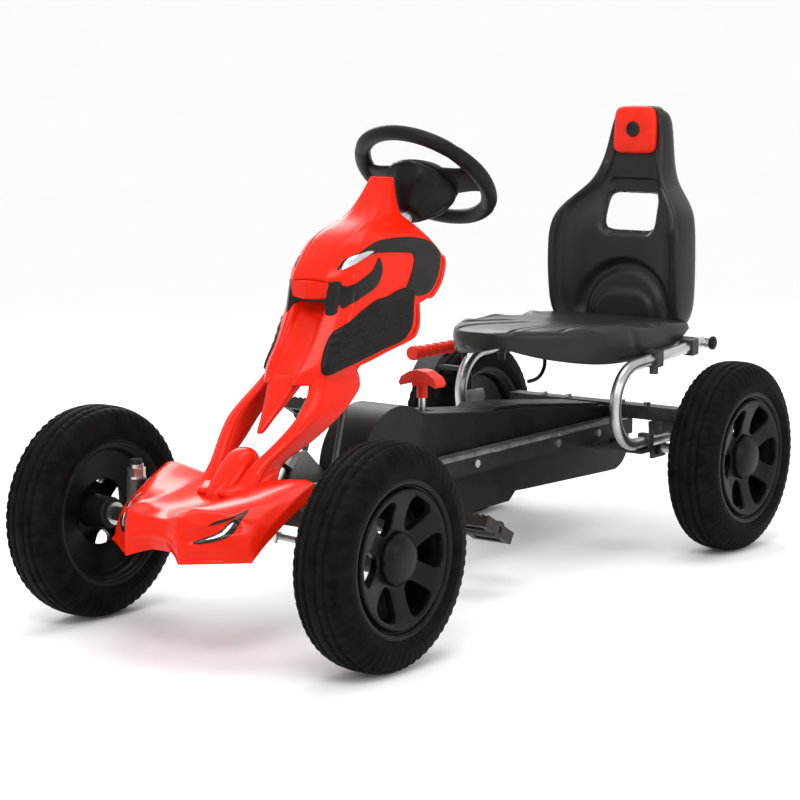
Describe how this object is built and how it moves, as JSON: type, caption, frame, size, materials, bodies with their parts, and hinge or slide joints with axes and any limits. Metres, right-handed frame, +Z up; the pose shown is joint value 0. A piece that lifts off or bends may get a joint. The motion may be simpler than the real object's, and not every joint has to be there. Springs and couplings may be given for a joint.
{
  "type": "pedal go kart",
  "caption": "Ride-on pedal go kart with a moulded front fairing, bucket seat, steering wheel, chain drive, gear lever and hand brake, carried on four fat spoked wheels",
  "frame": {"origin": "On the ground plane under the middle of the whole kart, on its centre plane", "axes": "+Z is up; -Y is the direction of travel (nose) and +Y the back of the seat, along the longest extent; +X is the driver's left, along the shortest extent"},
  "size_m": [0.594, 1.23, 0.6986],
  "materials": {
    "tyre": "matte",
    "bright_red": "gloss",
    "black_trim": "gloss",
    "black_plastic": "satin",
    "seat_plastic": "satin",
    "chrome": "polished",
    "zinc_steel": "satin",
    "black_steel": "satin",
    "chain_steel": "oiled",
    "rubber": "matte",
    "pedal_plastic": "satin",
    "lamp": "gloss"
  },
  "bodies": {
    "chassis": {"front_axle_beam": "black_steel", "frame_rail_left": "black_steel", "frame_rail_right": "black_steel", "column_support": "black_steel", "rear_cross_beam": "black_steel", "seat_frame_beam": "black_steel", "seat_tube_left": "chrome", "seat_tube_right": "chrome", "seat_cross_bar": "chrome", "cross_bar_caps": "black_plastic", "frame_bushes": "black_plastic", "chain_case_left": "black_plastic", "chain_case_right": "black_plastic", "chain_case_lid": "black_plastic", "drive_chain": "chain_steel", "fairing_cowl": "bright_red", "fairing_panels": "black_trim", "fairing_scoop": "black_trim", "nose": "bright_red", "headlights": "lamp", "fasteners": "zinc_steel"},
    "steering": {"steering_column": "black_steel", "steering_wheel": "black_plastic", "steering_wheel_cover": "black_trim"},
    "knuckle_left": {"knuckle_left": "black_steel", "kingpin_nut_left": "zinc_steel"},
    "knuckle_right": {"knuckle_right": "black_steel", "kingpin_nut_right": "zinc_steel"},
    "tie_rod_left": {"tie_rod_left": "zinc_steel"},
    "tie_rod_right": {"tie_rod_right": "zinc_steel"},
    "front_left_wheel": {"tyre_front_left": "tyre", "rim_front_left": "black_trim", "hub_cap_front_left": "black_trim", "wheel_bushes_front_left": "zinc_steel"},
    "front_right_wheel": {"tyre_front_right": "tyre", "rim_front_right": "black_trim", "hub_cap_front_right": "black_trim", "wheel_bushes_front_right": "zinc_steel"},
    "drive_axle": {"rear_axle": "zinc_steel", "rear_sprocket": "chain_steel", "tyre_rear_left": "tyre", "rim_rear_left": "black_trim", "hub_cap_rear_left": "black_trim"},
    "rear_right_wheel": {"tyre_rear_right": "tyre", "rim_rear_right": "black_trim", "hub_cap_rear_right": "black_trim", "wheel_bushes_rear_right": "zinc_steel"},
    "crank": {"crank": "zinc_steel", "chainring": "chain_steel"},
    "pedal_left": {"pedal_left": "pedal_plastic"},
    "pedal_right": {"pedal_right": "pedal_plastic"},
    "gear_lever": {"shift_lever": "zinc_steel", "shift_knob": "bright_red"},
    "handbrake": {"brake_lever": "black_steel", "brake_grip": "bright_red", "brake_shoe": "rubber"},
    "seat": {"seat_shell": "seat_plastic", "headrest_pad": "bright_red", "headrest_button": "black_trim", "seat_clamps": "zinc_steel"}
  },
  "joints": [
    {"name": "steering_turn", "type": "hinge", "parent": "chassis", "child": "steering", "pos_m": [0, -0.01374, 0.60563], "axis": [0, 0.6626, 0.749], "range_deg": [-24, 24]},
    {"name": "knuckle_left_steer", "type": "hinge", "parent": "chassis", "child": "knuckle_left", "pos_m": [0.174, -0.455, 0.15], "axis": [0, 0, 1], "range_deg": [-18.3, 18.3]},
    {"name": "knuckle_right_steer", "type": "hinge", "parent": "chassis", "child": "knuckle_right", "pos_m": [-0.174, -0.455, 0.15], "axis": [0, 0, 1], "range_deg": [-18.3, 18.3]},
    {"name": "tie_rod_left_swing", "type": "hinge", "parent": "knuckle_left", "child": "tie_rod_left", "pos_m": [0.164, -0.401, 0.134], "axis": [0, 0, 1], "range_deg": [-21.1, 21.1]},
    {"name": "tie_rod_right_swing", "type": "hinge", "parent": "knuckle_right", "child": "tie_rod_right", "pos_m": [-0.164, -0.401, 0.134], "axis": [0, 0, 1], "range_deg": [-21.1, 21.1]},
    {"name": "front_left_wheel_spin", "type": "hinge", "parent": "knuckle_left", "child": "front_left_wheel", "pos_m": [0.255, -0.455, 0.15], "axis": [1, 0, 0], "continuous": true},
    {"name": "front_right_wheel_spin", "type": "hinge", "parent": "knuckle_right", "child": "front_right_wheel", "pos_m": [-0.255, -0.455, 0.15], "axis": [1, 0, 0], "continuous": true},
    {"name": "drive_axle_spin", "type": "hinge", "parent": "chassis", "child": "drive_axle", "pos_m": [0, 0.454, 0.15], "axis": [1, 0, 0], "continuous": true},
    {"name": "rear_right_wheel_spin", "type": "hinge", "parent": "drive_axle", "child": "rear_right_wheel", "pos_m": [-0.255, 0.454, 0.15], "axis": [1, 0, 0], "continuous": true},
    {"name": "crank_spin", "type": "hinge", "parent": "chassis", "child": "crank", "pos_m": [0, -0.084, 0.18], "axis": [1, 0, 0], "continuous": true},
    {"name": "pedal_left_spin", "type": "hinge", "parent": "crank", "child": "pedal_left", "pos_m": [0.117, -0.038, 0.10033], "axis": [1, 0, 0], "continuous": true},
    {"name": "pedal_right_spin", "type": "hinge", "parent": "crank", "child": "pedal_right", "pos_m": [-0.117, -0.13, 0.25967], "axis": [1, 0, 0], "continuous": true},
    {"name": "gear_lever_tilt", "type": "hinge", "parent": "chassis", "child": "gear_lever", "pos_m": [0, -0.024, 0.228], "axis": [1, 0, 0], "range_deg": [-10, 10]},
    {"name": "handbrake_pull", "type": "hinge", "parent": "chassis", "child": "handbrake", "pos_m": [-0.172, 0.335, 0.225], "axis": [-1, 0, 0], "range_deg": [0, 6.3]},
    {"name": "seat_slide", "type": "slide", "parent": "chassis", "child": "seat", "axis": [0, 0.998, 0.0628], "range_m": [-0.04, 0.02]}
  ],
  "couplings": [
    {"joint": "knuckle_left_steer", "follows": "steering_turn", "ratio": 0.76},
    {"joint": "knuckle_right_steer", "follows": "steering_turn", "ratio": 0.76},
    {"joint": "tie_rod_left_swing", "follows": "steering_turn", "ratio": -0.876},
    {"joint": "tie_rod_right_swing", "follows": "steering_turn", "ratio": -0.876},
    {"joint": "crank_spin", "follows": "drive_axle_spin", "ratio": 0.53846}
  ]
}
